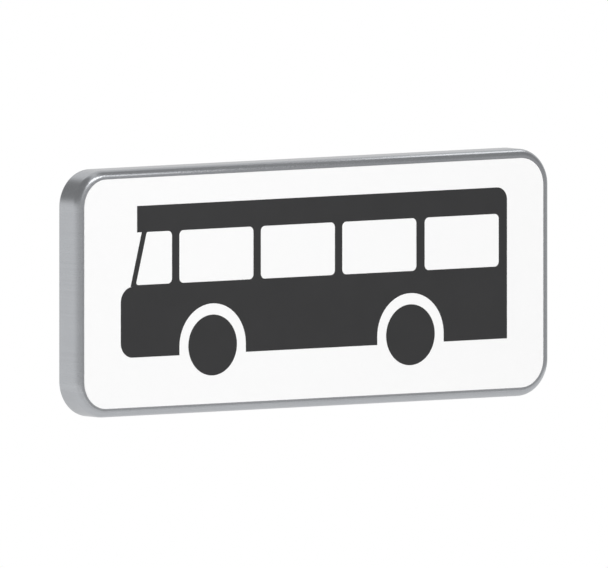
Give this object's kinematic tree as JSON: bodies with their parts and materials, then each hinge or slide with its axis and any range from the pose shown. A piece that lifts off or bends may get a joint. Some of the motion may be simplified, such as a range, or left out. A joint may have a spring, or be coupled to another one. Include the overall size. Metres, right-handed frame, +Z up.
{
  "type": "supplementary traffic sign plate",
  "caption": "Rectangular traffic sign plate with rounded corners, a pressed rim, a white reflective face with a black bus symbol, and slotted rails behind for post clamps.",
  "frame": {"origin": "middle of the plate with its films and rails: the centre of the bounding box", "axes": "+X to the right as seen from the front, +Y to the rear, +Z up; the face looks towards -Y"},
  "size_m": [0.6, 0.0346, 0.25],
  "materials": {
    "plate_metal": "satin",
    "white_film": "satin",
    "black_film": "satin",
    "rail_metal": "satin",
    "rail_tape": "matte"
  },
  "bodies": {
    "root": {"sign_plate": "plate_metal", "face_film": "white_film", "bus_body_film": "black_film", "front_wheel_film": "black_film", "rear_wheel_film": "black_film", "upper_rail": "rail_metal", "lower_rail": "rail_metal", "upper_rail_tape": "rail_tape", "lower_rail_tape": "rail_tape"}
  },
  "joints": []
}
